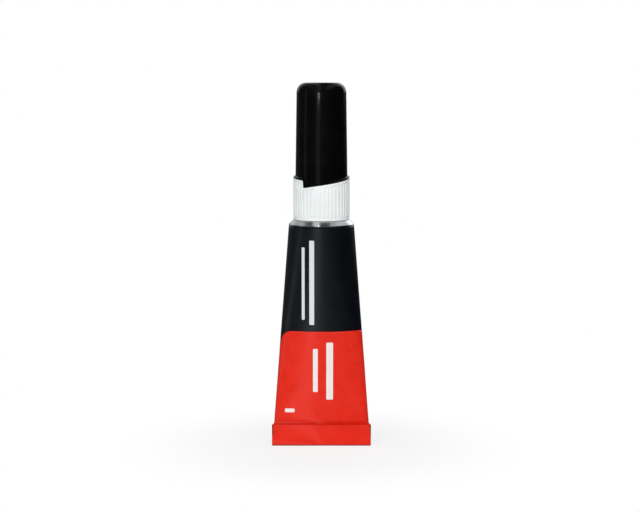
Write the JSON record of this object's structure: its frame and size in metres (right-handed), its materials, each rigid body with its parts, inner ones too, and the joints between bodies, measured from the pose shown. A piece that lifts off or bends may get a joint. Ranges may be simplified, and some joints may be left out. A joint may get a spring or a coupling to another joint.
{
  "type": "super glue tube",
  "caption": "Soft metal glue tube with a folded flat end, black and red print, a white ribbed screw-on nozzle and a stepped black screw cap with a clog pin.",
  "frame": {"origin": "centre of the flat foot of the folded end, at the bottom of the object", "axes": "+Z along the tube's axis towards the cap, -Y towards the printed front, +X to the right as the front is seen"},
  "size_m": [0.0208, 0.0136, 0.0758],
  "materials": {
    "black_enamel": "satin",
    "red_enamel": "satin",
    "seal_film": "matte",
    "liquid_glue": "gloss",
    "bare_aluminium": "satin",
    "natural_moulding": "satin",
    "white_moulding": "satin",
    "steel_pin": "polished",
    "black_moulding": "gloss"
  },
  "bodies": {
    "tube": {"tube_sleeve": "black_enamel", "red_panel": "red_enamel", "end_fold": "red_enamel", "end_seal": "seal_film", "glue_fill": "liquid_glue", "tube_shoulder": "bare_aluminium", "neck_membrane": "bare_aluminium"},
    "spout": {"nozzle_spout": "natural_moulding"},
    "collar": {"nozzle_collar": "white_moulding"},
    "liner": {"cap_liner": "natural_moulding", "clog_pin": "steel_pin"},
    "cap": {"cap_shell": "black_moulding"}
  },
  "joints": [
    {"name": "nozzle_rise", "type": "slide", "parent": "tube", "child": "spout", "axis": [0, 0, 1], "range_m": [0, 0.0048]},
    {"name": "nozzle_unscrew", "type": "hinge", "parent": "spout", "child": "collar", "pos_m": [0, 0, 0.0515], "axis": [0, 0, 1], "range_deg": [0, 1440]},
    {"name": "cap_rise", "type": "slide", "parent": "collar", "child": "liner", "axis": [0, 0, 1], "range_m": [0, 0.01695]},
    {"name": "cap_unscrew", "type": "hinge", "parent": "liner", "child": "cap", "pos_m": [0, 0, 0.065], "axis": [0, 0, 1], "range_deg": [0, 1296]}
  ],
  "couplings": [
    {"joint": "nozzle_unscrew", "follows": "nozzle_rise", "rad_per_m": 5236},
    {"joint": "cap_unscrew", "follows": "cap_rise", "rad_per_m": 1334.7}
  ]
}
